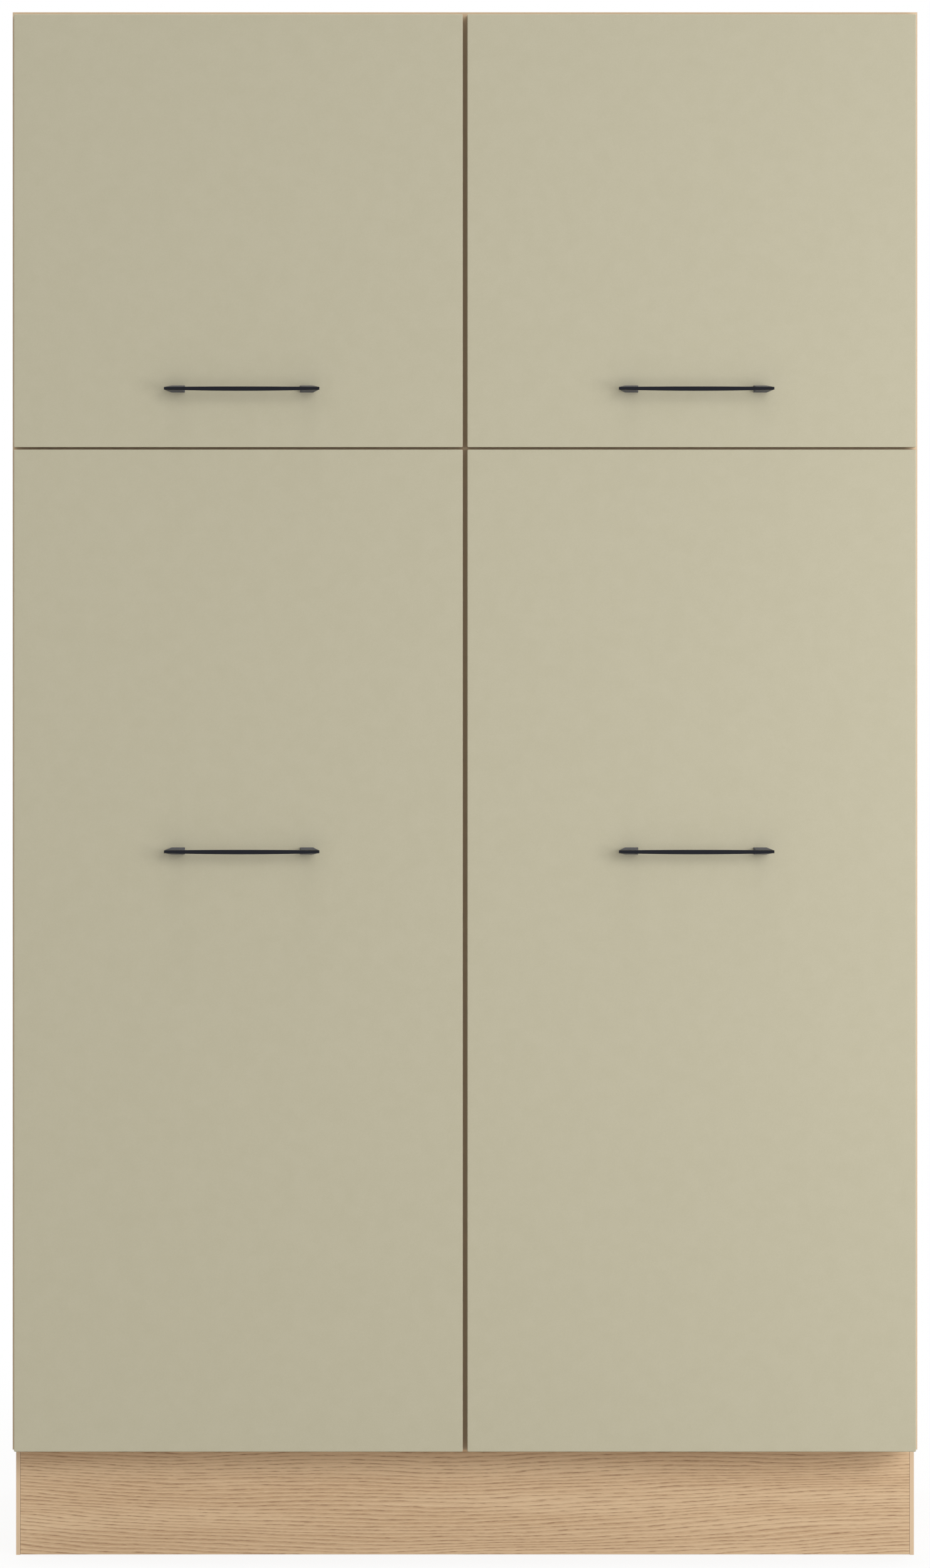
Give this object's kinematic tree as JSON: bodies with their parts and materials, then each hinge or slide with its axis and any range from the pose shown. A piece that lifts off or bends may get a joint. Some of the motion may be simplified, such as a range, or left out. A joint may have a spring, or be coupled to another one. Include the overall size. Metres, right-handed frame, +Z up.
{
  "type": "linen cabinet",
  "caption": "Tall freestanding cabinet of two joined carcasses with slab doors on concealed hinges, bow handles, loose shelves and a recessed plinth.",
  "frame": {"origin": "middle of the cabinet's footprint, handles included, on the floor", "axes": "+Z up, +X to the viewer's right, the doors face -Y"},
  "size_m": [1.2, 0.606, 2.056],
  "materials": {
    "sage_front": "matt foil over fibreboard, sage beige",
    "oak_board": "oak-look melamine on chipboard",
    "oak_plinth": "oak-look melamine, grain along the board",
    "oak_back": "oak-look printed fibreboard",
    "black_handle": "satin black powder coat",
    "hinge_steel": "nickel-plated steel",
    "zinc_fitting": "die-cast zinc",
    "beech_dowel": "bare beech",
    "clear_bumper": "soft translucent dot"
  },
  "bodies": {
    "carcass": {"bracket_screws": "hinge_steel", "cam_bolts": "hinge_steel", "cam_locks": "zinc_fitting", "door_bumpers": "clear_bumper", "dowels": "beech_dowel", "hinge_arm_pins": "hinge_steel", "hinge_arm_screws": "hinge_steel", "hinge_arms": "hinge_steel", "hinge_mounting_plates": "hinge_steel", "left_back": "oak_back", "left_bottom": "oak_board", "left_fixed_shelf": "oak_board", "left_inner_side": "oak_board", "left_lower_shelf_1": "oak_board", "left_lower_shelf_2": "oak_board", "left_lower_shelf_3": "oak_board", "left_outer_side": "oak_board", "left_top": "oak_board", "left_upper_shelf": "oak_board", "module_connectors": "hinge_steel", "mounting_plate_screws": "hinge_steel", "plinth_board": "oak_plinth", "plinth_brackets": "hinge_steel", "right_back": "oak_back", "right_bottom": "oak_board", "right_fixed_shelf": "oak_board", "right_inner_side": "oak_board", "right_lower_shelf_1": "oak_board", "right_lower_shelf_2": "oak_board", "right_lower_shelf_3": "oak_board", "right_outer_side": "oak_board", "right_top": "oak_board", "right_upper_shelf": "oak_board", "shelf_pegs": "hinge_steel", "wall_brackets": "hinge_steel"},
    "upper_left_outer_links": {"upper_left_outer_links": "hinge_steel"},
    "upper_left_inner_links": {"upper_left_inner_links": "hinge_steel"},
    "upper_left_door": {"upper_left_door": "sage_front", "upper_left_handle": "black_handle", "upper_left_handle_screws": "hinge_steel", "upper_left_hinge_cups": "hinge_steel"},
    "upper_right_outer_links": {"upper_right_outer_links": "hinge_steel"},
    "upper_right_inner_links": {"upper_right_inner_links": "hinge_steel"},
    "upper_right_door": {"upper_right_door": "sage_front", "upper_right_handle": "black_handle", "upper_right_handle_screws": "hinge_steel", "upper_right_hinge_cups": "hinge_steel"},
    "lower_left_outer_links": {"lower_left_outer_links": "hinge_steel"},
    "lower_left_inner_links": {"lower_left_inner_links": "hinge_steel"},
    "lower_left_door": {"lower_left_door": "sage_front", "lower_left_handle": "black_handle", "lower_left_handle_screws": "hinge_steel", "lower_left_hinge_cups": "hinge_steel"},
    "lower_right_outer_links": {"lower_right_outer_links": "hinge_steel"},
    "lower_right_inner_links": {"lower_right_inner_links": "hinge_steel"},
    "lower_right_door": {"lower_right_door": "sage_front", "lower_right_handle": "black_handle", "lower_right_handle_screws": "hinge_steel", "lower_right_hinge_cups": "hinge_steel"}
  },
  "joints": [
    {"name": "upper_left_outer_link_pivot", "type": "hinge", "parent": "carcass", "child": "upper_left_outer_links", "pos_m": [-0.5507, -0.227, 1.569], "axis": [0, 0, 1], "range_deg": [0, 19]},
    {"name": "upper_left_door_hinge", "type": "hinge", "parent": "upper_left_outer_links", "child": "upper_left_door", "pos_m": [-0.58708, -0.26, 1.569], "axis": [0, 0, -1], "range_deg": [0, 114]},
    {"name": "upper_left_inner_link_pivot", "type": "hinge", "parent": "carcass", "child": "upper_left_inner_links", "pos_m": [-0.544, -0.2567, 1.569], "axis": [0, 0, 1], "range_deg": [0, 21.6]},
    {"name": "upper_right_outer_link_pivot", "type": "hinge", "parent": "carcass", "child": "upper_right_outer_links", "pos_m": [0.5507, -0.227, 1.569], "axis": [0, 0, -1], "range_deg": [0, 19]},
    {"name": "upper_right_door_hinge", "type": "hinge", "parent": "upper_right_outer_links", "child": "upper_right_door", "pos_m": [0.58708, -0.26, 1.569], "axis": [0, 0, 1], "range_deg": [0, 114]},
    {"name": "upper_right_inner_link_pivot", "type": "hinge", "parent": "carcass", "child": "upper_right_inner_links", "pos_m": [0.544, -0.2567, 1.569], "axis": [0, 0, -1], "range_deg": [0, 21.6]},
    {"name": "lower_left_outer_link_pivot", "type": "hinge", "parent": "carcass", "child": "lower_left_outer_links", "pos_m": [-0.5507, -0.227, 0.813], "axis": [0, 0, 1], "range_deg": [0, 19]},
    {"name": "lower_left_door_hinge", "type": "hinge", "parent": "lower_left_outer_links", "child": "lower_left_door", "pos_m": [-0.58708, -0.26, 0.813], "axis": [0, 0, -1], "range_deg": [0, 114]},
    {"name": "lower_left_inner_link_pivot", "type": "hinge", "parent": "carcass", "child": "lower_left_inner_links", "pos_m": [-0.544, -0.2567, 0.813], "axis": [0, 0, 1], "range_deg": [0, 21.6]},
    {"name": "lower_right_outer_link_pivot", "type": "hinge", "parent": "carcass", "child": "lower_right_outer_links", "pos_m": [0.5507, -0.227, 0.813], "axis": [0, 0, -1], "range_deg": [0, 19]},
    {"name": "lower_right_door_hinge", "type": "hinge", "parent": "lower_right_outer_links", "child": "lower_right_door", "pos_m": [0.58708, -0.26, 0.813], "axis": [0, 0, 1], "range_deg": [0, 114]},
    {"name": "lower_right_inner_link_pivot", "type": "hinge", "parent": "carcass", "child": "lower_right_inner_links", "pos_m": [0.544, -0.2567, 0.813], "axis": [0, 0, -1], "range_deg": [0, 21.6]}
  ],
  "couplings": [
    {"joint": "upper_left_outer_link_pivot", "follows": "upper_left_door_hinge", "ratio": 0.16666},
    {"joint": "upper_left_inner_link_pivot", "follows": "upper_left_door_hinge", "ratio": 0.18933},
    {"joint": "upper_right_outer_link_pivot", "follows": "upper_right_door_hinge", "ratio": 0.16666},
    {"joint": "upper_right_inner_link_pivot", "follows": "upper_right_door_hinge", "ratio": 0.18933},
    {"joint": "lower_left_outer_link_pivot", "follows": "lower_left_door_hinge", "ratio": 0.16666},
    {"joint": "lower_left_inner_link_pivot", "follows": "lower_left_door_hinge", "ratio": 0.18933},
    {"joint": "lower_right_outer_link_pivot", "follows": "lower_right_door_hinge", "ratio": 0.16666},
    {"joint": "lower_right_inner_link_pivot", "follows": "lower_right_door_hinge", "ratio": 0.18933}
  ]
}
